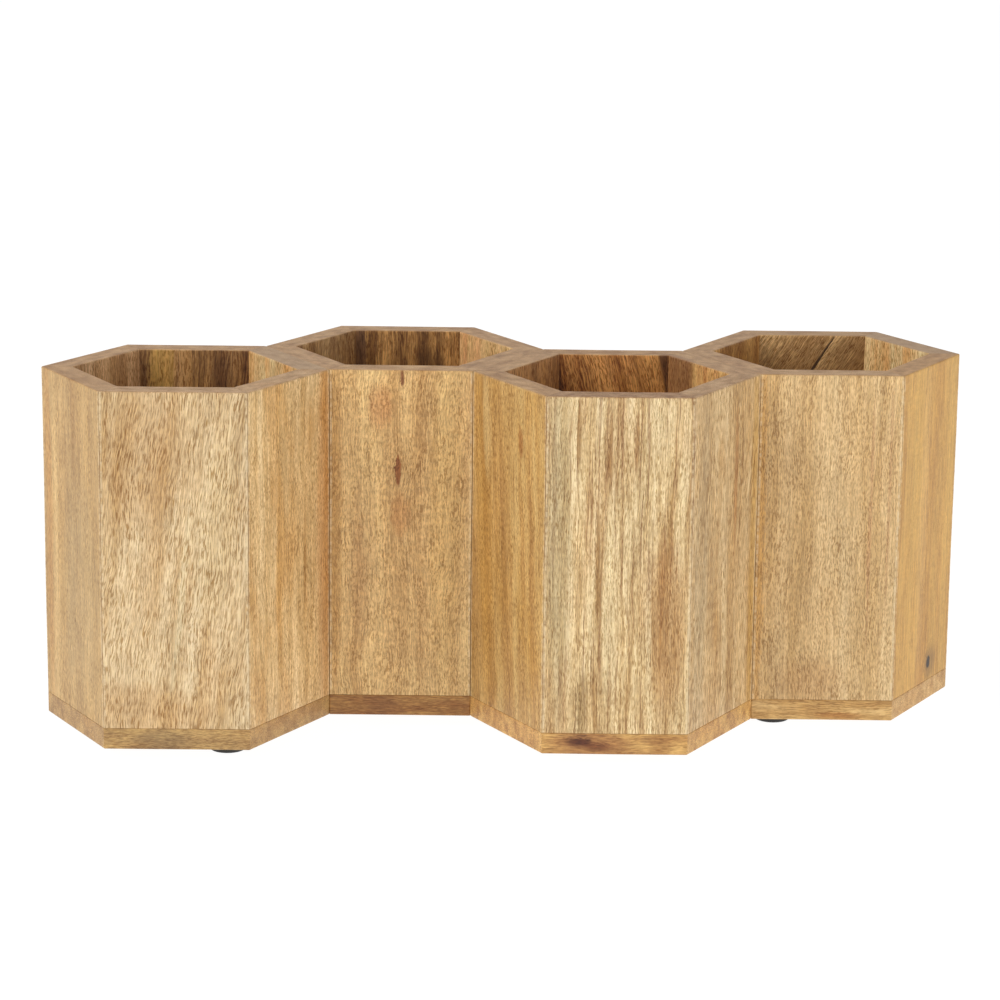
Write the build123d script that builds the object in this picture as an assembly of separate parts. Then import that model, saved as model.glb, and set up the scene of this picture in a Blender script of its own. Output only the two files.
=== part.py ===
from build123d import *
from math import cos, radians, sin, sqrt, tan
import os

# Open-topped wooden caddy: four hexagonal cells glued side by side in a zigzag row.
# Each cell is a tube of six mitred slats standing on its own hexagonal base board.
# Neighbouring cells share no wall: each has its own, and the two are glued face to face.
# The two end cells carry four round rubber bumpers as feet, stuck to their base boards.
# Millimetres, +Z up, the row runs along X and the open mouths face up.
# The origin is on the surface the feet stand on, under the middle of the row.

# Driving dimensions
cell_side = 47.0  # outer side of a hexagon, equal to its centre-to-corner radius
wall_thickness = 9.0
wall_height = 110.5
base_thickness = 7.0
foot_height = 3.8
foot_radius = 6.5  # where it is stuck to the base board
foot_reach = 30.5  # from a cell's centre to a foot's centre, towards a corner

# Eased edges
corner_radius = 0.6  # upright outer corners of walls and bases
rim_outer_radius = 0.5  # not on a glued face, where the two rims are level and flush
rim_inner_radius = 0.4
base_edge_radius = 0.5
foot_edge_radius = 0.9
foot_taper = 0.4  # how much smaller the foot's radius is at the floor

# Worked-out sizes
inner_corner = cell_side - wall_thickness / cos(radians(30))
base_top = foot_height + base_thickness
row_step = 1.5 * cell_side  # centre to centre along X
stagger = cell_side * sqrt(3) / 4  # each cell's shift in Y, forwards or back

# Each wall by the direction that its outer face looks in, in degrees from +X
wall_directions = {
    "front": -90,
    "front_right": -30,
    "back_right": 30,
    "back": 90,
    "back_left": 150,
    "front_left": 210,
}

# The walls of each cell that are glued to the next cell's
glued_walls = [
    ["back_right"],
    ["front_left", "front_right"],
    ["back_left", "back_right"],
    ["front_left"],
]

# Each foot: its cell, and the direction from that cell's centre, in degrees from +X
feet = {
    "left_front": (0, -60),
    "left_back": (0, 60),
    "right_front": (3, 240),
    "right_back": (3, 120),
}


def cell_centre(index):
    """Centre of a cell; the first and third stand forward, the others back."""
    forward = index % 2 == 0
    return ((index - 1.5) * row_step, -stagger if forward else stagger)


def foot_centre(foot):
    """Centre of a foot, on the line from its cell's centre to a corner."""
    index, direction = feet[foot]
    x, y = cell_centre(index)
    reach_x = foot_reach * cos(radians(direction))
    reach_y = foot_reach * sin(radians(direction))
    return (x + reach_x, y + reach_y)


def hexagonal_tube(outer_edge_eased):
    """One whole cell wall about the Z axis, standing on z = 0, with its edges eased."""
    with BuildPart() as tube:
        with BuildSketch() as ring:
            RegularPolygon(radius=cell_side, side_count=6)
            fillet(ring.vertices(), corner_radius)
            RegularPolygon(radius=inner_corner, side_count=6, mode=Mode.SUBTRACT)
        extrude(amount=wall_height)
        rim = tube.faces().sort_by(Axis.Z)[-1]
        outer_edges = rim.outer_wire().edges()
        fillet(rim.inner_wires()[0].edges(), rim_inner_radius)
        if outer_edge_eased:
            fillet(outer_edges, rim_outer_radius)
    return tube.part


def mitre_wedge(direction):
    """The sixth of the space that one slat fills, from the axis out between two corners."""
    reach = 2 * cell_side
    half_width = reach * tan(radians(30))
    with BuildPart() as wedge:
        with BuildSketch(Plane.XY.rotated((0, 0, direction))):
            with BuildLine():
                Polyline((0, 0), (reach, -half_width), (reach, half_width), close=True)
            make_face()
        extrude(amount=wall_height)
    return wedge.part


def base_board():
    """Hexagonal board under one cell, standing on z = 0."""
    with BuildPart() as board:
        with BuildSketch() as outline:
            RegularPolygon(radius=cell_side, side_count=6)
            fillet(outline.vertices(), corner_radius)
        extrude(amount=base_thickness)
        underside = board.faces().sort_by(Axis.Z)[0]
        fillet(underside.edges(), base_edge_radius)
    return board.part


def rubber_foot():
    """Round bumper about the Z axis, standing on z = 0."""
    upright = (Align.CENTER, Align.CENTER, Align.MIN)
    with BuildPart() as foot:
        Cone(foot_radius - foot_taper, foot_radius, foot_height, align=upright)
        fillet(foot.faces().sort_by(Axis.Z)[0].edges(), foot_edge_radius)
    return foot.part


def write(shape, node):
    export_step(shape, f"parts/{node}.step")


def write_cells():
    """Six slats and a base board for each cell."""
    free_tube = hexagonal_tube(outer_edge_eased=True)
    glued_tube = hexagonal_tube(outer_edge_eased=False)
    board = base_board()
    for index, glued in enumerate(glued_walls):
        x, y = cell_centre(index)
        cell = f"cell_{index + 1}"
        for name, direction in wall_directions.items():
            tube = glued_tube if name in glued else free_tube
            slat = tube & mitre_wedge(direction)
            write(Pos(x, y, base_top) * slat, f"{cell}_{name}_slat")
        write(Pos(x, y, foot_height) * board, f"{cell}_base")


def write_feet():
    """A rubber foot at each of the four places."""
    foot = rubber_foot()
    for name in feet:
        x, y = foot_centre(name)
        write(Pos(x, y, 0) * foot, f"{name}_foot")


os.makedirs("parts", exist_ok=True)
write_cells()
write_feet()
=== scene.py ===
import math
from functools import partial

import bpy
import numpy as np
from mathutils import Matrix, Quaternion, Vector


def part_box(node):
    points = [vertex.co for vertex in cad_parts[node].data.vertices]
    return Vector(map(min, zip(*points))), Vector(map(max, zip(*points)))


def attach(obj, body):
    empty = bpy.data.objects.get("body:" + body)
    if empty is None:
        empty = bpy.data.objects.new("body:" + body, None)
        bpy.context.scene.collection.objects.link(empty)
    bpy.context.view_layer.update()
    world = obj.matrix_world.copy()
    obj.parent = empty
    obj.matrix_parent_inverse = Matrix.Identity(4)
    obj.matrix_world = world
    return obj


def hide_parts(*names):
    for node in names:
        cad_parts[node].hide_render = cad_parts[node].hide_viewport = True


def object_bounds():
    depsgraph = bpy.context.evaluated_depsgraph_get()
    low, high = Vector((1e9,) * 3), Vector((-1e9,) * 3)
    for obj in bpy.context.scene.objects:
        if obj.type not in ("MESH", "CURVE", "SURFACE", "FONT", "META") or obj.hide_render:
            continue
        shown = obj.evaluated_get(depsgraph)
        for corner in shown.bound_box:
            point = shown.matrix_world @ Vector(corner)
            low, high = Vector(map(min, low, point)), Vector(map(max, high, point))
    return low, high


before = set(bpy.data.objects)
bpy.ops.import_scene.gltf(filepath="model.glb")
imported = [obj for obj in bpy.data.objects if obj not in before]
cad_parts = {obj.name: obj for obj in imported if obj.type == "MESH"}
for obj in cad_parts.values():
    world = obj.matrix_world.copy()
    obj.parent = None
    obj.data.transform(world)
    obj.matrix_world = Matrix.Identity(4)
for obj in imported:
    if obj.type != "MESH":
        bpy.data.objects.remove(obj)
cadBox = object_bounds()
print("frame loaded:", len(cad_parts), "nodes")

mm = 0.001
tan30 = math.tan(math.radians(30))

# The main sizes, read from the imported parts
baseLow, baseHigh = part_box("cell_1_base")
slatLow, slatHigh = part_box("cell_1_front_slat")
apothem = (baseHigh.y - baseLow.y) / 2  # cell's middle to the flat of a side
cellSide = 2 * apothem * tan30
wallThickness = slatHigh.y - slatLow.y
wallBottom = slatLow.z
rimHeight = slatHigh.z

# Each side of a cell, by the direction it looks in, in degrees from +X
sides = {
    "front": -90,
    "front_right": -30,
    "back_right": 30,
    "back": 90,
    "back_left": 150,
    "front_left": 210,
}
# The sides of each cell that are glued to the next cell's
gluedSides = {
    "cell_1": ["back_right"],
    "cell_2": ["front_left", "front_right"],
    "cell_3": ["back_left", "back_right"],
    "cell_4": ["front_left"],
}
cellMiddles = {}
for cell in gluedSides:
    low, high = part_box(f"{cell}_base")
    cellMiddles[cell] = (low + high) / 2

# What hand sanding leaves: slow waves, 50 to 120 mm long, over the whole row
sanding = {
    "depth": 0.05 * mm,
    "upDown": 0.4,  # share of the depth that heights move by
    "lengths": (0.083, 0.117, 0.052),
    "starts": (0.9, 1.7, 0.4),
}


def handFinish(points):
    # Each point moves by sine waves of its own place alone, so pieces that meet move together
    x, y, z = points[..., 0], points[..., 1], points[..., 2]
    a, b, c = (2 * math.pi / length for length in sanding["lengths"])
    p, q, r = sanding["starts"]
    shift = np.stack(
        [
            np.sin(a * z + p) + np.sin(b * y + q),
            np.sin(a * x + q) + np.sin(c * z + r),
            sanding["upDown"] * (np.sin(c * x + r) + np.sin(b * y + p)),
        ],
        axis=-1,
    )
    return points + sanding["depth"] * shift


def makePiece(name, points, faces, values, material, node):
    mesh = bpy.data.meshes.new(name)
    mesh.from_pydata(points.reshape(-1, 3).tolist(), [], faces)
    for label, value in values.items():
        attribute = mesh.attributes.new(label, "FLOAT", "POINT")
        attribute.data.foreach_set("value", np.ascontiguousarray(value, dtype=np.float32).ravel())
    # A board's mitred end is one face with many corners, and it stays flat
    mesh.polygons.foreach_set("use_smooth", [len(face) < 5 for face in faces])
    mesh.materials.append(material)
    mesh.update()
    piece = bpy.data.objects.new(name, mesh)
    bpy.context.scene.collection.objects.link(piece)
    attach(piece, "root")
    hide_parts(node)
    return piece


def gridFaces(rows, around):
    # Quads between each row of a grid and the next, closed round the row
    i, j = np.meshgrid(np.arange(rows - 1), np.arange(around), indexing="ij")
    after = (j + 1) % around
    here, there = i * around, (i + 1) * around
    quads = np.stack([here + j, there + j, there + after, here + after], axis=-1)
    return quads.reshape(-1, 4).tolist()


def outlineReach(turn, inset, corner):
    # A hexagon's outline with rounded corners, drawn inwards by inset. turn runs from -1 at one corner of
    # a side to 1 at the next. The reach, square to the side, is the apothem less inset until the ray meets
    # the corner's arc, then the far root of ray against arc. The arc keeps its centre as the inset grows.
    slope = np.abs(turn) * tan30
    flat = apothem - inset
    middle = apothem - corner
    side = middle * tan30
    square = 1 + slope**2
    half = middle + slope * side
    rest = middle**2 + side**2 - (corner - inset) ** 2
    arc = (half + np.sqrt(np.maximum(half**2 - square * rest, 0))) / square
    return np.where(slope * flat <= side, flat, arc)


def sideStations(corner, flatSteps, arcSteps):
    # Places across a side, from -1 to 1: even along the flat, three close together beside each corner, so
    # that the flat is shaded flat, and even round the corner's arc
    start = (apothem - corner) / apothem
    beside = start - np.array([1.2, 0.7, 0.3]) * mm / (apothem * tan30)
    arc = start + (1 - start) * np.linspace(0, 1, arcSteps + 1)
    half = np.concatenate([np.linspace(0, beside[0], flatSteps // 2 + 1), beside[1:], arc])
    return np.concatenate([-half[:0:-1], half])


def linear(hexColor):
    # sRGB hex to the linear colour that a shader takes
    parts = [int(hexColor[i : i + 2], 16) / 255 for i in (1, 3, 5)]
    return tuple(c / 12.92 if c <= 0.04045 else ((c + 0.055) / 1.055) ** 2.4 for c in parts) + (1.0,)


# Places of the input sockets of a Map Range and of a colour Mix, which use some names more than once
mapped, fromMin, fromMax, toMin, toMax = range(5)
share, under, over = 0, 6, 7


def addNode(tree, kind, inputs=None, stops=None, **settings):
    # Adds one node: its settings, its colour stops if it has any, and a value or a link for each input. An
    # earlier node given as an input stands for its first live output.
    node = tree.nodes.new(f"ShaderNode{kind}")
    for label, value in settings.items():
        setattr(node, label, value)
    for label, value in (inputs or {}).items():
        if isinstance(value, bpy.types.Node):
            value = next(socket for socket in value.outputs if socket.enabled)
        if isinstance(value, bpy.types.NodeSocket):
            tree.links.new(value, node.inputs[label])
        else:
            node.inputs[label].default_value = value
    if stops:
        ramp = node.color_ramp.elements
        while len(ramp) < len(stops):
            ramp.new(1.0)
        for element, (place, color) in zip(ramp, stops):
            element.position = place
            element.color = linear(color)
    return node


def startMaterial(name):
    material = bpy.data.materials.new(name)
    material.use_nodes = True
    tree = material.node_tree
    tree.nodes.clear()
    return material, tree


# What each board looks like. Lengths are in millimetres, across from the board's middle and up from its
# lower end. A board that isn't named below is a plain one.
plainBoard = {
    "pale": "#d8b983",
    "middle": "#c6a170",
    "deep": "#ab8455",
    "bandWidth": 6,
    "bandLength": 150,
    "lean": 0,  # slant of the grain in degrees, to the right going up, seen from outside
    "leanFrom": 60,  # height that the grain leans about
    "sway": 5,  # how far the grain wanders
    "warm": "#ca9247",  # colour of the soft patches
    "warmth": 0.25,
    "dashes": 0.55,  # strength of the short strokes that close pores make
    "dashWidth": 0.36,
    "dashLength": 2.2,
    "pores": 0.8,  # strength of the long open pores
    "streaks": 0.2,
    "streakColor": "#9a6f3e",
    "streakWidth": 1.4,
    "ripple": 0.05,  # strength of the faint bars across the grain
    # The inner face's colours are darker than the outside's: painted shade inside the cell
    "insidePale": "#d2a465",
    "insideDeep": "#664126",
    "rimPale": "#dbaf82",
    "rimDeep": "#a97d58",
    "glue": 1.0,  # strength of the dark lines at the mitres
    "marks": [],  # each is across, height, half width, half height, colour, strength and softness
    "roughInside": 2.0,  # how much stronger pores are on the inner face
    "marksAt": 4.5,  # outwards from the board's middle to the marks: the outer face
    "marksDepth": 3,  # how far they go in from there
}
# Painted light and shade on the inner faces: gold for faces turned to the key lamp, painted lit; brown for
# a face turned away, painted shaded
goldLitInside = {"insidePale": "#ffe2a8", "insideDeep": "#f7ba72", "rimPale": "#c8a684", "rimDeep": "#b59272"}
brownInside = {"insidePale": "#e6bd90", "insideDeep": "#b3875a"}
boardLooks = {
    "cell_1_front_left": {
        "pale": "#d0ab71", "middle": "#c29d65", "deep": "#b18952", "bandWidth": 9, "warmth": 0.15,
        "dashes": 0.65, "dashWidth": 0.33, "dashLength": 1.7, "pores": 0.7, "warm": "#c09244",
        "marks": [
            (-13, 70, 1.6, 45, "#d9b478", 0.7, 0.5), (-19, 60, 3.0, 60, "#bd894a", 0.6, 0.9),
            (6, 40, 13, 40, "#b59c70", 0.35, 1.0),
        ],
    },
    "cell_1_front": {
        "pale": "#e9cfa5", "middle": "#dabc8f", "deep": "#c39f6c", "lean": 6, "sway": 6, "dashes": 1.0,
        "pores": 1.0, "streaks": 0.05, "dashWidth": 0.34, "dashLength": 3.2, "warmth": 0.25,
        "marks": [
            (-13, 88, 15, 24, "#ba8643", 0.4, 1.0), (3.5, 42, 1.3, 34, "#ebd7ad", 0.6, 0.7),
            (22.6, 99, 0.5, 9, "#a55e2d", 0.8, 0.3), (-6, 5, 22, 9, "#be8a47", 0.4, 1.0),
            (12, 68, 7, 30, "#e7cd9e", 0.45, 1.0),
        ],
    },
    "cell_1_front_right": {
        "pale": "#f3d7a7", "middle": "#e3c18c", "deep": "#c7a169", "sway": 6, "warmth": 0.45,
        "dashes": 0.8, "pores": 1.0, "dashLength": 1.6,
        # The first mark, the orange strip beside the valley with cell 2, is painted shade
        "marks": [(21, 55, 5, 70, "#c68846", 0.65, 1.0), (9, 52, 0.8, 17, "#ad7e45", 0.5, 0.6)],
    },
    "cell_2_front": {
        "pale": "#f2cd8e", "middle": "#e0b87c", "deep": "#c2965c", "ripple": 0.09, "sway": 7,
        "dashes": 0.8, "warmth": 0.1, "pores": 0.6, "bandWidth": 8, "streaks": 0.1, "dashLength": 1.4,
        "marks": [
            (-1.0, 77.2, 1.05, 5.6, "#91531f", 0.95, 0.2), (0.5, 108, 0.6, 3.0, "#7c441a", 0.9, 0.4),
            (-7, 98, 4, 8, "#bf783f", 0.5, 1.0), (0, 62, 3.2, 8, "#c48a4f", 0.6, 0.7),
            # The strip at -22, beside the valley with cell 1, is painted shade
            (15, 60, 6, 60, "#dfb771", 0.45, 1.0), (-22, 60, 2.5, 60, "#bb8a44", 0.6, 1.0),
            (-12, 45, 5, 28, "#bb8557", 0.2, 1.0),
        ],
    },
    "cell_3_front_left": {
        "pale": "#d7b578", "middle": "#c69d60", "deep": "#a87e4b", "streaks": 0.4, "lean": -4,
        "dashes": 0.8, "warm": "#b8862f", "dashLength": 1.6,
        "marks": [
            # The first mark, the orange strip towards the valley with cell 2, is painted shade
            (-15, 60, 5, 60, "#ca9a4c", 0.5, 1.0), (10, 92, 1.6, 5, "#9e5e2b", 0.6, 0.8),
            (-12, 95, 2.5, 18, "#dabd85", 0.6, 0.9),
        ],
    },
    "cell_3_front": {
        "pale": "#f4dcae", "middle": "#e0c18d", "deep": "#b28b55", "bandWidth": 3.4, "bandLength": 60,
        "dashes": 0.8, "streaks": 0.6, "warmth": 0.15, "streakColor": "#97683c", "sway": 3,
        "streakWidth": 0.9, "dashWidth": 0.3, "dashLength": 2.0, "pores": 1.0, "warm": "#c98d5a",
        "rimPale": "#bb8762", "rimDeep": "#885a3c",
        "marks": [
            (-6.5, 57, 0.7, 20, "#966c34", 0.75, 0.6), (-19, 60, 4.0, 60, "#a8956a", 0.5, 0.9),
            (-13, 98, 0.9, 12, "#9d7339", 0.7, 0.6), (-3, 94, 0.7, 14, "#9b6c34", 0.7, 0.6),
            (5, 96, 0.8, 11, "#a1713a", 0.7, 0.6), (-11, 9, 2.0, 12, "#916e36", 0.6, 0.8),
            (16, 34, 6, 30, "#b27e43", 0.6, 1.0), (-3, 45, 2.0, 35, "#f6e1b1", 0.5, 0.8),
        ],
    },
    "cell_3_front_right": {
        "pale": "#e5ca9e", "middle": "#d3b282", "deep": "#ba9464", "streaks": 0.4, "dashes": 1.0,
        "dashLength": 2.8, "glue": 0.35,
        "marks": [
            (-17, 60, 5, 62, "#b3a384", 0.35, 0.9), (7, 78, 1.2, 26, "#b07236", 0.5, 0.8),
            # The strip at 21, beside the valley with cell 4, is painted shade
            (21, 55, 2.6, 70, "#d2a65b", 0.6, 0.9),
        ],
    },
    "cell_4_front": {
        "pale": "#e7c896", "middle": "#dcb984", "deep": "#cca66e", "sway": 6, "dashes": 0.8,
        "warmth": 0.1, "bandWidth": 8, "dashLength": 1.7, "glue": 0.35,
        "marks": [
            # The first mark, the orange strip beside the valley with cell 3, is painted shade
            (-22.5, 55, 2.0, 70, "#cb964a", 0.7, 0.8), (-4, 6, 12, 9, "#ac7a43", 0.4, 1.0),
            (14, 60, 0.6, 45, "#b98358", 0.4, 0.6), (20, 70, 0.6, 40, "#b37e52", 0.4, 0.6),
        ],
    },
    "cell_4_front_right": {
        "pale": "#d4a652", "middle": "#c99746", "deep": "#b78137", "dashes": 0.3, "pores": 0.2,
        "streaks": 0.05, "warm": "#c58f34", "dashLength": 1.3,
        "marks": [
            (7.5, 6, 5, 6, "#7f5a2c", 0.6, 1.0), (6.5, 6.3, 1.5, 2.3, "#221004", 0.95, 0.4),
            (-3, 60, 4, 60, "#d6ac66", 0.4, 1.0),
        ],
    },
    # The inner face colours below are painted with the light and shade that falls on each inner face
    "cell_1_back": {
        "marksAt": -4.5, "insidePale": "#c89963", "insideDeep": "#613c25", "streaks": 0.7,
        "streakColor": "#5b3a20",
        "marks": [(11, 100, 4.5, 40, "#e0b060", 0.75, 0.6), (-9, 102, 3, 9, "#5f3d2a", 0.6, 1.0)],
    },
    "cell_2_back": {
        "marksAt": -4.5, "insidePale": "#ecb36c", "insideDeep": "#7f562e", "streaks": 0.4,
        # The first mark, a dark band at the inner corner, is painted shade
        "marks": [(16.5, 100, 2.4, 40, "#54342a", 0.8, 0.6), (-8, 98, 5, 7, "#5f4024", 0.6, 1.0)],
    },
    "cell_3_back": {
        "marksAt": -4.5, "insidePale": "#f2ae65", "insideDeep": "#9e612c", "lean": 12, "dashes": 0.7,
        "leanFrom": 100,
        "marks": [
            # The two dark bands at the inner corners are painted shade
            (18.5, 100, 2.0, 60, "#54301c", 0.8, 0.7), (-18.5, 100, 2.0, 60, "#54301c", 0.8, 0.7),
            (2, 88, 8, 6, "#8a4a20", 0.6, 1.0),
        ],
    },
    "cell_4_back": {
        "marksAt": -4.5, "insidePale": "#fbd092", "insideDeep": "#ae8452", "lean": -32, "leanFrom": 100,
        "pale": "#cdb07e", "middle": "#c3a26f", "deep": "#b8945f", "bandWidth": 12, "streaks": 0.05,
        "marks": [(-1, 100, 0.5, 14, "#3f2813", 0.95, 0.3), (-14, 92, 5, 5, "#7e4c28", 0.7, 0.8)],
    },
    "cell_1_back_right": goldLitInside,
    "cell_2_back_right": {"insidePale": "#ffd797", "insideDeep": "#f2b178"},
    "cell_3_back_right": {
        "marksAt": -4.5, "insidePale": "#ffcf84", "insideDeep": "#dc9859",
        "marks": [(11, 95, 9, 60, "#7f5334", 0.75, 0.6)],
    },
    "cell_4_back_right": goldLitInside,
    "cell_1_back_left": brownInside,
    "cell_2_back_left": {"insidePale": "#c9a474", "insideDeep": "#896038"},
    "cell_3_back_left": {"insidePale": "#c89460", "insideDeep": "#895b31"},
    "cell_4_back_left": {"insidePale": "#dba964", "insideDeep": "#9c6a36"},
}

# How far apart the patterns of one board and the next start, and one pattern and the next
boardStep = (13.7, 7.3, 5.1)
patternStep = 9.7


def grainPatterns(add, look, place, seed):
    # Noise at each grain size, given through, across and along the board. What comes after wander follows
    # the grain that wander bends.
    width, poreWidth = look["bandWidth"], look["dashWidth"]
    sizes = {
        "patches": (20, 10, 45),
        "ripple": (5, 5, 1.6),
        "wander": (24, 16, 36),
        "bands": (0.5 * width, width, look["bandLength"]),
        "fibre": (0.4, 0.42, 9),
        "streaks": (1.0, look["streakWidth"], 40),
        "crowd": (4, 4, 12),
        "dashes": (poreWidth, poreWidth, look["dashLength"]),
    }
    found = {}
    for label, size in sizes.items():
        start = [step * seed for step in boardStep]
        start[2] += patternStep * len(found)
        cells = add("VectorMath", {0: place, 1: [1 / s for s in size], 2: start}, operation="MULTIPLY_ADD")
        found[label] = add("TexNoise", {"Vector": cells, "Scale": 1.0, "Detail": 3.0, "Roughness": 0.55})
        if label == "wander":
            bend = {0: found[label].outputs["Color"], 1: (0, look["sway"], 0), 2: place}
            place = add("VectorMath", bend, operation="MULTIPLY_ADD")
    return found, place


def drawMarks(add, look, place, ragged, color):
    # Stains, knots and painted shade (beside the valleys between cells and in inner corners) are
    # ellipsoids: each is drawn where the squares of the distances along its axes, over its half sizes, add
    # up to less than one. The grain pushes the edges about, which makes them ragged.
    axes = add("SeparateXYZ", {"Vector": place})
    depth = add("Math", {0: axes.outputs["X"], 1: look["marksAt"]}, operation="SUBTRACT")
    depth = add("Math", {0: depth, 1: look["marksDepth"]}, operation="DIVIDE")
    depth = add("Math", {0: depth, 1: depth}, operation="MULTIPLY")
    for across, height, halfWidth, halfHeight, markColor, strength, softness in look["marks"]:
        rag = min(2.0 * halfWidth, 3.0)
        sideways = add("Math", {0: ragged, 1: rag, 2: -rag - across}, operation="MULTIPLY_ADD")
        sideways = add("Math", {0: sideways, 1: axes.outputs["Y"]}, operation="ADD")
        sideways = add("Math", {0: sideways, 1: halfWidth}, operation="DIVIDE")
        upwards = add("Math", {0: axes.outputs["Z"], 1: height}, operation="SUBTRACT")
        upwards = add("Math", {0: upwards, 1: halfHeight}, operation="DIVIDE")
        far = add("Math", {0: sideways, 1: sideways, 2: depth}, operation="MULTIPLY_ADD")
        far = add("Math", {0: upwards, 1: upwards, 2: far}, operation="MULTIPLY_ADD")
        edge = {fromMin: 1 + 0.6 * softness, fromMax: 0.8 * (1 - softness), toMin: 0.0, toMax: strength}
        mark = add("MapRange", {mapped: far, **edge}, interpolation_type="SMOOTHSTEP")
        color = add("Mix", {share: mark, under: color, over: linear(markColor)}, data_type="RGBA")
    return color


def openPores(add, look, found, place, inside, seed):
    # Dark strength of the pores: close dashes, crowded in some stretches, and longer open ones
    crowd = add("MapRange", {mapped: found["crowd"], fromMin: 0.35, fromMax: 0.62, toMin: 0.45, toMax: 1.0})
    dashes = add(
        "MapRange",
        {mapped: found["dashes"], fromMin: 0.49, fromMax: 0.58, toMax: look["dashes"]},
        interpolation_type="SMOOTHSTEP",
    )
    dashes = add("Math", {0: dashes, 1: crowd}, operation="MULTIPLY")
    across, along = 0.45 / look["dashWidth"], 0.55 / look["dashLength"]
    cells = {0: place, 1: (across, across, along), 2: (seed, 0, 0)}
    cells = add("VectorMath", cells, operation="MULTIPLY_ADD")
    pores = add("TexVoronoi", {"Vector": cells, "Scale": 1.0})
    girth = add("SeparateColor", {"Color": pores.outputs["Color"]})
    girth = add("MapRange", {mapped: girth, fromMin: 0.35, fromMax: 1.0, toMin: 0.001, toMax: 0.38})
    core = add("Math", {0: girth, 1: 0.5}, operation="MULTIPLY")
    edge = {fromMin: girth, fromMax: core, toMin: 0.0, toMax: look["pores"]}
    pores = add("MapRange", {mapped: pores.outputs["Distance"], **edge})
    rough = {fromMin: 0.0, fromMax: 1.0, toMin: 1.0, toMax: look["roughInside"]}
    rough = add("MapRange", {mapped: inside, **rough})
    dark = add("Math", {0: dashes, 1: pores}, operation="MAXIMUM")
    return add("Math", {0: dark, 1: rough}, operation="MULTIPLY")


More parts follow.
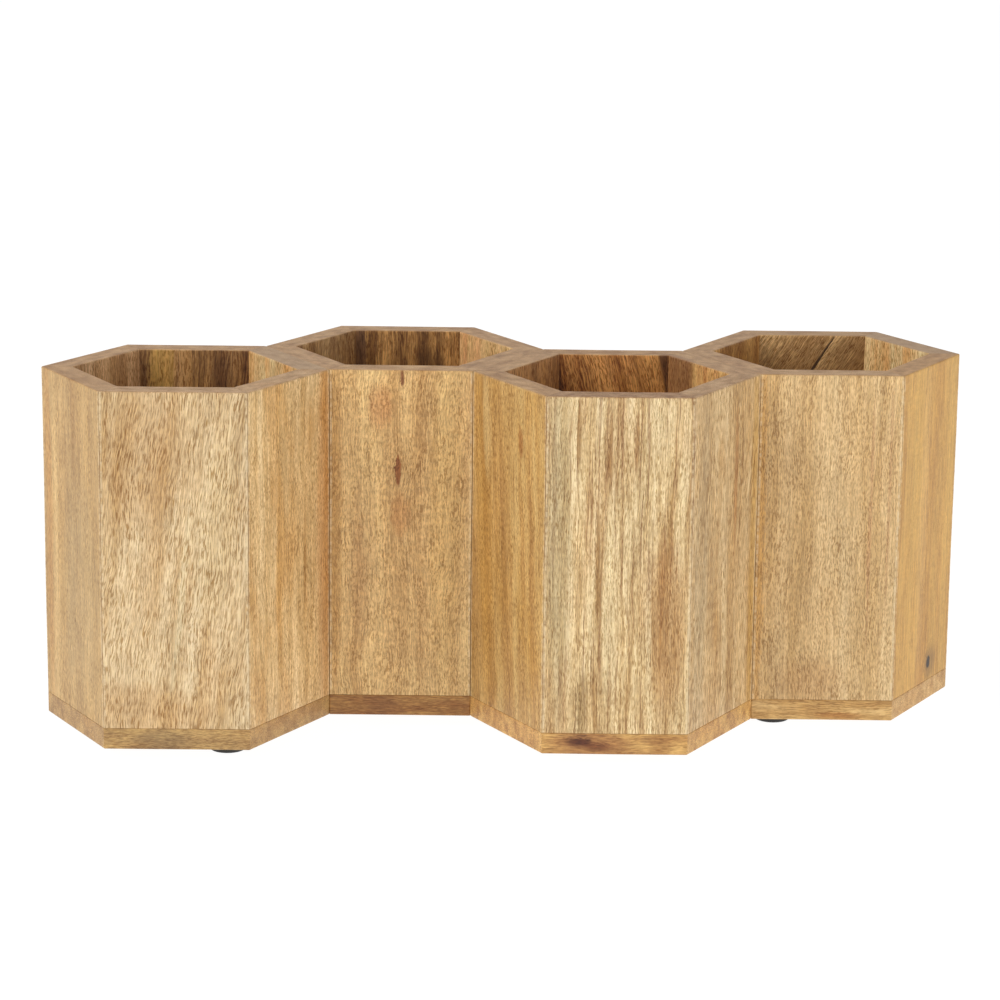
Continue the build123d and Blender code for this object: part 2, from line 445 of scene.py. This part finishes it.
def mangoWood(name, look, middle, turn, seed):
    # Mango wood under clear satin lacquer: soft bands of cream to honey along the grain, crossed by orange
    # and brown stains, and short dark pores that show as strokes on the faces. Real pores are 0.1 to 0.2 mm
    # across, too fine to show, so they are drawn about 0.4 mm.
    material, tree = startMaterial(f"mango wood {name}")
    add = partial(addNode, tree)
    place = add("TexCoord").outputs["Object"]
    # Millimetres on the board: outwards, across and along the grain
    board = add(
        "Mapping",
        {"Vector": place, "Location": middle, "Rotation": turn, "Scale": (mm, mm, mm)},
        vector_type="TEXTURE",
    )
    leaning = add(
        "VectorRotate",
        {"Vector": board, "Center": (0, 0, look["leanFrom"]), "Angle": math.radians(look["lean"])},
        rotation_type="X_AXIS",
    )
    found, grain = grainPatterns(add, look, leaning, seed)

    # Tone along the grain, outside and inside. The inside colours hold painted light and shade: each inner
    # face is painted lit or shaded by the way it faces
    tone = add("Math", {0: found["fibre"], 1: 0.5, 2: -0.25}, operation="MULTIPLY_ADD")
    tone = add("Math", {0: found["bands"], 1: tone}, operation="ADD")
    stops = [(0.3, look["pale"]), (0.5, look["middle"]), (0.7, look["deep"])]
    outer = add("ValToRGB", {"Fac": tone}, stops)
    inner = add("ValToRGB", {"Fac": tone}, [(0.36, look["insidePale"]), (0.64, look["insideDeep"])])
    inside = add("Attribute", attribute_name="inside").outputs["Fac"]
    color = add("Mix", {share: inside, under: outer, over: inner}, data_type="RGBA")

    # Warm patches, streaks in short runs, then stains, knots and painted shade
    patches = add("SeparateColor", {"Color": found["patches"].outputs["Color"]})
    warm = add(
        "MapRange",
        {mapped: patches.outputs["Red"], fromMin: 0.48, fromMax: 0.66, toMax: look["warmth"]},
        interpolation_type="SMOOTHSTEP",
    )
    color = add("Mix", {share: warm, under: color, over: linear(look["warm"])}, data_type="RGBA")
    streaks = add(
        "MapRange",
        {mapped: found["streaks"], fromMin: 0.53, fromMax: 0.66, toMax: look["streaks"]},
        interpolation_type="SMOOTHSTEP",
    )
    color = add("Mix", {share: streaks, under: color, over: linear(look["streakColor"])}, data_type="RGBA")
    ragged = add("Math", {0: found["streaks"], 1: found["dashes"]}, operation="ADD")
    color = drawMarks(add, look, leaning, ragged, color)

    # Fibre lines, a ripple across the grain, and slow light and dark
    fibre = add("MapRange", {mapped: found["fibre"], fromMin: 0.3, fromMax: 0.7, toMin: 1.16, toMax: 0.84})
    ends = {fromMin: 0.3, fromMax: 0.7, toMin: 1 - look["ripple"], toMax: 1 + look["ripple"]}
    ripple = add("MapRange", {mapped: found["ripple"], **ends})
    ends = {fromMin: 0.35, fromMax: 0.65, toMin: 0.93, toMax: 1.07}
    slow = add("MapRange", {mapped: patches.outputs["Green"], **ends})
    shade = add("Math", {0: fibre, 1: ripple}, operation="MULTIPLY")
    shade = add("Math", {0: shade, 1: slow}, operation="MULTIPLY")
    color = add("Mix", {share: 1.0, under: color, over: shade}, data_type="RGBA", blend_type="MULTIPLY")

    # Dark pores, and a faint gleam on the wood between them
    dark = openPores(add, look, found, grain, inside, seed)
    bright = {fromMin: 0.48, fromMax: 0.36, toMax: 0.4 * look["dashes"]}
    bright = add("MapRange", {mapped: found["dashes"], **bright})
    glint = {share: bright, under: color, over: linear("#ffe9c8")}
    color = add("Mix", glint, data_type="RGBA", blend_type="SOFT_LIGHT")
    pore = {share: dark, under: color, over: linear("#bfaa85")}
    color = add("Mix", pore, data_type="RGBA", blend_type="MULTIPLY")

    # End grain, a pale strip along the corners that is wear with a painted highlight, and glue lines
    ends = add("Attribute", attribute_name="endGrain").outputs["Fac"]
    ends = add("Math", {0: ends, 1: 0.7}, operation="MULTIPLY")
    endColor = add("ValToRGB", {"Fac": found["bands"]}, [(0.3, look["rimPale"]), (0.7, look["rimDeep"])])
    color = add("Mix", {share: ends, under: color, over: endColor}, data_type="RGBA")
    wearAndHighlight = add("Attribute", attribute_name="wearAndHighlight").outputs["Fac"]
    wearAndHighlightStrength = {fromMin: 0.42, fromMax: 0.58, toMin: 0.15, toMax: 0.8}
    wearAndHighlightStrength = add("MapRange", {mapped: found["ripple"], **wearAndHighlightStrength})
    wearAndHighlight = add("Math", {0: wearAndHighlight, 1: wearAndHighlightStrength}, operation="MULTIPLY")
    color = add("Mix", {share: wearAndHighlight, under: color, over: linear("#e9d3aa")}, data_type="RGBA")
    joint = add("Attribute", attribute_name="joint").outputs["Fac"]
    glued = look["glue"]
    ends = {fromMin: 0.4, fromMax: 0.6, toMin: 0.35 * glued, toMax: 0.85 * glued}
    glue = add("MapRange", {mapped: patches.outputs["Blue"], **ends})
    joint = add("Math", {0: joint, 1: glue}, operation="MULTIPLY")
    color = add("Mix", {share: joint, under: color, over: linear("#5c3011")}, data_type="RGBA")

    relief = add("Math", {0: dark, 1: -1.0, 2: found["fibre"]}, operation="MULTIPLY_ADD")
    bump = add("Bump", {"Height": relief, "Strength": 0.5, "Distance": 0.06 * mm})
    gloss = add("MapRange", {mapped: dark, fromMin: 0.0, fromMax: 1.0, toMin: 0.45, toMax: 0.6})
    surface = add("BsdfPrincipled", {"Base Color": color, "Roughness": gloss, "IOR": 1.5, "Normal": bump})
    add("OutputMaterial", {"Surface": surface})
    return material


def blackRubber():
    # Black moulded rubber: matt, with a fine even grain that breaks up any shine
    material, tree = startMaterial("black rubber")
    add = partial(addNode, tree)
    place = add("TexCoord").outputs["Object"]
    grit = add("TexNoise", {"Vector": place, "Scale": 1 / (0.4 * mm), "Detail": 3.0})
    color = add("ValToRGB", {"Fac": grit}, [(0.3, "#1d1c19"), (0.7, "#302f2b")])
    gloss = add("MapRange", {mapped: grit, fromMin: 0.3, fromMax: 0.7, toMin: 0.55, toMax: 0.72})
    bump = add("Bump", {"Height": grit, "Strength": 0.3, "Distance": 0.05 * mm})
    surface = add("BsdfPrincipled", {"Base Color": color, "Roughness": gloss, "IOR": 1.52, "Normal": bump})
    add("OutputMaterial", {"Surface": surface})
    return material


slat = {
    "corner": 0.6 * mm,  # upright outer corners
    "rimOuter": 0.5 * mm,
    "rimInner": 0.4 * mm,
    "seam": 0.2 * mm,  # eased lower edge, which shows as the line above the base
    "glued": 0.06 * mm,  # what is left of the rim's outer easing where two cells are glued
    "gluedRunOut": 3.0 * mm,  # how far from a corner it fades in
    "glueWidth": 0.17 * mm,  # half the dark line at a mitre
    "wearAndHighlightAt": 0.45 * mm,  # from the corner to the middle of its pale strip, which is wear with a painted highlight
    "wearAndHighlightWidth": 0.45 * mm,
    "seamShade": 0.22,  # how dark that line is
    "faceRows": 42,
    "rimRows": 6,
    "edgeSteps": 7,
}


def makeSlat(cell, side, material):
    # A board as a closed strip. One parameter runs across, from mitre to mitre, and is a fixed share of the
    # distance from the cell's middle, so that both ends lie in the mitre planes. The other runs round the
    # board's section: up the outside, over the rim, down the inside, and back under.
    turn = sideStations(slat["corner"], 16, 5)[:, None]
    fromCorner = (1 - np.abs(turn)) * cellSide / 2
    rimOuter, glued = slat["rimOuter"], slat["glued"]
    outerRound = np.full_like(turn, rimOuter)
    if side in gluedSides[cell]:
        near = np.clip(1 - fromCorner / slat["gluedRunOut"], 0, 1)
        outerRound = glued + (rimOuter - glued) * near**2 * (3 - 2 * near)
    arc = np.linspace(0, math.pi / 2, slat["edgeSteps"])[None, :]
    opening, rising, falling = arc[:, :-1], arc[:, 1:], arc[:, ::-1]
    faceSteps = np.concatenate([[0], np.linspace(0.004, 0.996, slat["faceRows"]), [1]])[None, :]
    rimSteps = np.concatenate([[0.03], np.linspace(0.15, 0.85, slat["rimRows"]), [0.97]])[None, :]

    # Each stretch of the section: share of the outer outline, outer inset, inner inset, height, end grain
    low, high = wallBottom, rimHeight
    seam, inner = slat["seam"], slat["rimInner"]
    stretches = [
        (1, seam * (1 - np.sin(opening)), 0, low + seam * (1 - np.cos(opening)), 0),
        (1, 0, 0, low + seam + (high - outerRound - low - seam) * faceSteps, 0),
        (
            1,
            outerRound * (1 - np.cos(rising)),
            0,
            high - outerRound * (1 - np.sin(rising)),
            np.sin(rising) ** 2,
        ),
        (1 - rimSteps, outerRound, inner, high, 1),
        (0, 0, inner * (1 - np.cos(falling)), high - inner * (1 - np.sin(falling)), np.sin(falling) ** 2),
        (0, 0, 0, high - inner - (high - inner - low) * faceSteps[:, 1:], 0),
        (np.linspace(0.1, 0.97, 6)[None, :], seam, 0, low, 1),
    ]
    filled = [np.broadcast_arrays(turn, *stretch)[1:] for stretch in stretches]
    columns = [np.concatenate(column, axis=1) for column in zip(*filled)]
    outerShare, outerInset, innerInset, height, endGrain = columns

    reach = outerShare * outlineReach(turn, outerInset, slat["corner"])
    reach = reach + (1 - outerShare) * (apothem - wallThickness + innerInset)
    sideways = reach * turn * tan30
    angle = math.radians(sides[side])
    middle = cellMiddles[cell]
    points = np.stack(
        [
            middle.x + reach * math.cos(angle) - sideways * math.sin(angle),
            middle.y + reach * math.sin(angle) + sideways * math.cos(angle),
            height,
        ],
        axis=-1,
    )

    # What the material reads: where the outside is pale along the corners, wear with a painted highlight,
    # which face is the inner one, and the glue lines
    outer = np.clip((outerShare - 0.9) * 10, 0, 1) * (1 - endGrain)
    wearAndHighlight = outer * np.clip(1 - np.abs(fromCorner - slat["wearAndHighlightAt"]) / slat["wearAndHighlightWidth"], 0, 1)
    inside = np.clip(1 - 4 * outerShare, 0, 1) * (1 - endGrain)
    seamLine = np.clip((low + 1.2 * seam - height) / seam, 0, 1) * (outerShare > 0.99)
    glueLine = np.clip(1.2 - fromCorner / slat["glueWidth"], 0, 1) * (0.3 + 0.7 * (1 - endGrain))
    joint = np.maximum(glueLine, slat["seamShade"] * seamLine)

    stations, around = height.shape
    leftEnd = list(range(around))
    rightEnd = [(stations - 1) * around + k for k in reversed(range(around))]
    makePiece(
        f"slat_{cell}_{side}",
        handFinish(points),
        gridFaces(stations, around) + [leftEnd, rightEnd],
        {"endGrain": endGrain, "wearAndHighlight": wearAndHighlight, "inside": inside, "joint": joint},
        material,
        f"{cell}_{side}_slat",
    )


seed = 1
for cell in gluedSides:
    for side, degrees in sides.items():
        look = {**plainBoard, **boardLooks.get(f"{cell}_{side}", {})}
        angle = math.radians(degrees)
        outward = Vector((math.cos(angle), math.sin(angle), 0))
        middle = cellMiddles[cell] + outward * (apothem - wallThickness / 2)
        middle.z = wallBottom
        wood = mangoWood(f"{cell} {side}", look, middle, (0, 0, angle), seed)
        makeSlat(cell, side, wood)
        seed += 1
print("slats made")

base = {
    "corner": 0.6 * mm,  # upright corners
    "under": 0.5 * mm,  # eased lower edge
    "seam": 0.2 * mm,
    "seamShade": 0.22,
    "sideEnds": 0.12,  # how far its sides take the end grain's colour
    "faceRings": 8,
    "edgeSteps": 6,
    "sideRows": 5,
}
baseBoard = {"leanFrom": 0, "bandWidth": 5, "bandLength": 60, "marksAt": 40, "marksDepth": 9}
# A base board lies with its grain along +X, so a mark's first number is how far down it is, and its second
# how far along +X
baseLooks = {
    "cell_1": {
        "pale": "#c49e62", "middle": "#b28c57", "deep": "#987141", "grainTurn": 8, "pores": 0.6,
        "marks": [(0, -10, 4, 9, "#7f6b4c", 0.35, 1.0)],
    },
    "cell_2": {
        "pale": "#bf914e", "middle": "#ac7d41", "deep": "#915f29", "grainTurn": -5, "warm": "#8a5426",
        "marks": [(0, -2, 5, 6, "#7f4e26", 0.5, 1.0)],
    },
    "cell_3": {
        "pale": "#e6ba70", "middle": "#cf9f5c", "deep": "#aa7943", "grainTurn": 4, "dashes": 0.5,
        "marks": [
            (0, -10, 4.8, 13, "#a26a3c", 0.65, 1.0), (-0.6, -14.0, 2.0, 4.6, "#542205", 0.95, 1.0),
            (1.0, -8.5, 1.5, 4.4, "#703812", 0.8, 1.0), (0, 12, 5, 4, "#99632d", 0.5, 0.9),
        ],
    },
    "cell_4": {
        "pale": "#dfb87a", "middle": "#cb9f5f", "deep": "#b08144", "grainTurn": 3,
        "marks": [(1.8, 4, 1.2, 8, "#a66929", 0.6, 0.9)],
    },
}


def makeTurned(name, middle, reach, height, stations, values, material, node, sanded):
    # A closed form about an upright axis: rows of points at a reach and height, one row for each place on
    # the profile from the top's middle to the underside's, and one column for each direction. The two
    # middles are single points.
    points = np.stack(
        [
            middle.x + reach * np.cos(stations),
            middle.y + reach * np.sin(stations),
            np.broadcast_to(height[:, None], reach.shape),
        ],
        axis=-1,
    )
    poles = np.array([[middle.x, middle.y, height[0]], [middle.x, middle.y, height[-1]]])
    points = np.concatenate([points.reshape(-1, 3), poles])
    if sanded:
        points = handFinish(points)
    rows, around = reach.shape
    topPole, underPole = rows * around, rows * around + 1
    k = np.arange(around)
    after = (k + 1) % around
    last = (rows - 1) * around
    top = np.stack([np.full(around, topPole), k, after], axis=-1)
    underside = np.stack([np.full(around, underPole), last + after, last + k], axis=-1)
    faces = gridFaces(rows, around) + top.tolist() + underside.tolist()
    atPoles = {label: np.append(value, [value[0, 0], value[-1, 0]]) for label, value in values.items()}
    makePiece(name, points, faces, atPoles, material, node)


def makeBase(cell, material, grainAngle):
    # The profile runs out over the top, round the seam's edge, down the side, round the lower edge and in
    low, high = baseLow.z, baseHigh.z
    seam, lower = base["seam"], base["under"]
    arc = np.linspace(0, math.pi / 2, base["edgeSteps"])
    rings = np.linspace(0.12, 0.96, base["faceRings"])
    sideRows = np.linspace(high - seam, low + lower, base["sideRows"] + 2)[1:-1]
    outerShare = np.concatenate([rings, np.ones(2 * len(arc) + len(sideRows)), rings[::-1]])
    inset = np.concatenate(
        [
            np.full(len(rings), seam),
            seam * (1 - np.sin(arc)),
            np.zeros(len(sideRows)),
            lower * (1 - np.cos(arc)),
            np.full(len(rings), lower),
        ]
    )
    height = np.concatenate(
        [
            np.full(len(rings), high),
            high - seam * (1 - np.cos(arc)),
            sideRows,
            low + lower * (1 - np.sin(arc)),
            np.full(len(rings), low),
        ]
    )

    # One side's outline, then the same round all six
    turn = sideStations(base["corner"], 10, 4)[:-1]
    reach = outerShare[:, None] * outlineReach(turn[None, :], inset[:, None], base["corner"])
    reach = np.tile(reach * np.sqrt(1 + (turn[None, :] * tan30) ** 2), (1, 6))
    facing = np.repeat(np.radians(60 * np.arange(6) - 90), len(turn))
    stations = np.tile(np.arctan(turn * tan30), 6) + facing

    upright = (outerShare == 1) & (height < high - 0.5 * seam)
    endGrain = base["sideEnds"] * upright[:, None] * np.cos(facing - grainAngle) ** 2
    seamLine = np.clip((height - high + 1.2 * seam) / seam, 0, 1) * (outerShare > 0.99)
    none = np.zeros_like(endGrain)
    joint = np.broadcast_to(base["seamShade"] * seamLine[:, None], endGrain.shape)
    makeTurned(
        f"base_{cell}",
        cellMiddles[cell],
        reach,
        height,
        stations,
        {"endGrain": endGrain, "wearAndHighlight": none, "inside": none, "joint": joint},
        material,
        f"{cell}_base",
        sanded=True,
    )


for cell, own in baseLooks.items():
    look = {**plainBoard, **baseBoard, **own}
    grainAngle = math.radians(look["grainTurn"])
    turn = (-math.pi / 2, 0, grainAngle - math.pi / 2)
    wood = mangoWood(f"{cell} base", look, cellMiddles[cell], turn, seed)
    makeBase(cell, wood, grainAngle)
    seed += 1
print("base boards made")

foot = {
    "around": 72,
    "edge": 0.9 * mm,
    "taper": 0.4 * mm,  # how much smaller its radius is at the floor
    "topEdge": 0.15 * mm,
}


def makeFoot(name, material):
    # The profile runs out over the top, round its edge, down the tapered side, round the lower edge and in
    low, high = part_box(name)
    middle = (low + high) / 2
    radius = (high.x - low.x) / 2
    floorRadius = radius - foot["taper"]
    edge, topEdge = foot["edge"], foot["topEdge"]
    arc = np.linspace(0, math.pi / 2, 8)
    rings = np.linspace(0.2, 0.97, 5)
    reach = np.concatenate(
        [
            rings * radius,
            radius - topEdge * (1 - np.sin(arc)),
            np.linspace(radius, floorRadius, 6)[1:-1],
            floorRadius - edge * (1 - np.cos(arc)),
            rings[::-1] * (floorRadius - edge),
        ]
    )
    height = np.concatenate(
        [
            np.full(len(rings), high.z),
            high.z - topEdge * (1 - np.cos(arc)),
            np.linspace(high.z - topEdge, low.z + edge, 6)[1:-1],
            low.z + edge * (1 - np.sin(arc)),
            np.full(len(rings), low.z),
        ]
    )
    stations = np.arange(foot["around"]) * 2 * math.pi / foot["around"]
    reach = np.repeat(reach[:, None], foot["around"], axis=1)
    piece = f"bumper_{name}"
    makeTurned(piece, middle, reach, height, stations, {}, material, name, sanded=False)


rubber = blackRubber()
for name in ("left_front_foot", "left_back_foot", "right_front_foot", "right_back_foot"):
    makeFoot(name, rubber)
print("feet made")

# The floor glows nearly white by itself and bounces little light back, so it looks white with faint shadows
floor = {"half": 6.0, "color": "#ffffff", "glow": 0.97, "bounce": 0.12}
half = floor["half"]
floorMesh = bpy.data.meshes.new("floor")
corners = [(-half, -half, 0), (half, -half, 0), (half, half, 0), (-half, half, 0)]
floorMesh.from_pydata(corners, [], [(0, 1, 2, 3)])
floorPiece = bpy.data.objects.new("floor", floorMesh)
bpy.context.scene.collection.objects.link(floorPiece)
paper, tree = startMaterial("white paper sweep")
shine = addNode(
    tree,
    "BsdfPrincipled",
    {
        "Base Color": (floor["bounce"],) * 3 + (1,),
        "Roughness": 1.0,
        "Specular IOR Level": 0.0,
        "Emission Color": linear(floor["color"]),
        "Emission Strength": floor["glow"],
    },
)
addNode(tree, "OutputMaterial", {"Surface": shine})
floorMesh.materials.append(paper)

# The studio: bright walls that dim overhead
sky = {"horizon": 0.8, "overhead": 0.3, "from": 0.05, "to": 0.5}
world = bpy.data.worlds.new("studio")
bpy.context.scene.world = world
world.use_nodes = True
tree = world.node_tree
tree.nodes.clear()
way = addNode(tree, "TexCoord")
up = addNode(tree, "SeparateXYZ", {"Vector": way.outputs["Generated"]}).outputs["Z"]
dimming = {fromMin: sky["from"], fromMax: sky["to"], toMin: sky["horizon"], toMax: sky["overhead"]}
glow = addNode(tree, "MapRange", {mapped: up, **dimming})
backdrop = addNode(tree, "Background", {"Color": (1, 1, 1, 1), "Strength": glow})
addNode(tree, "OutputWorld", {"Surface": backdrop})


def direction(azimuth, elevation):
    # Unit vector from an angle round from +X and an angle up from level, in degrees
    around, above = math.radians(azimuth), math.radians(elevation)
    return Vector((math.cos(around) * math.cos(above), math.sin(around) * math.cos(above), math.sin(above)))


# Metres and watts
softboxes = {
    "key": {"azimuth": 205, "elevation": 42, "distance": 1.8, "size": 1.1, "power": 18},
    "fill": {"azimuth": 325, "elevation": 8, "distance": 1.8, "size": 1.1, "power": 11},
}
objectMiddle = (cadBox[0] + cadBox[1]) / 2
for name, light in softboxes.items():
    lamp = bpy.data.lights.new(name, "AREA")
    lamp.shape = "SQUARE"
    lamp.size = light["size"]
    lamp.energy = light["power"]
    toLamp = direction(light["azimuth"], light["elevation"])
    softbox = bpy.data.objects.new(name, lamp)
    softbox.location = objectMiddle + toLamp * light["distance"]
    softbox.rotation_mode = "QUATERNION"
    softbox.rotation_quaternion = toLamp.to_track_quat("Z", "Y")
    bpy.context.scene.collection.objects.link(softbox)

shot = {
    "aim": (-0.052, 0.0, 1.481),  # in cell sides, from the underside of the base boards
    "distance": 23.34,  # in cell sides
    "azimuth": -0.12,  # round from straight in front
    "elevation": 13.19,
    "roll": 0.68,
    "lens": 117.6,
    "sensor": 36,
    "clip": (0.05, 20),
}
camera = bpy.data.cameras.new("camera")
camera.lens = shot["lens"]
camera.sensor_width = shot["sensor"]
camera.clip_start, camera.clip_end = shot["clip"]
viewer = bpy.data.objects.new("camera", camera)
back = direction(shot["azimuth"] - 90, shot["elevation"])
aim = Vector(shot["aim"]) * cellSide + Vector((0, 0, baseLow.z))
roll = Quaternion((0, 0, 1), math.radians(shot["roll"]))
viewer.location = aim + back * shot["distance"] * cellSide
viewer.rotation_mode = "QUATERNION"
viewer.rotation_quaternion = back.to_track_quat("Z", "Y") @ roll
bpy.context.scene.collection.objects.link(viewer)
bpy.context.scene.camera = viewer
bpy.context.scene.view_settings.view_transform = "Standard"
print("floor, light and camera set")
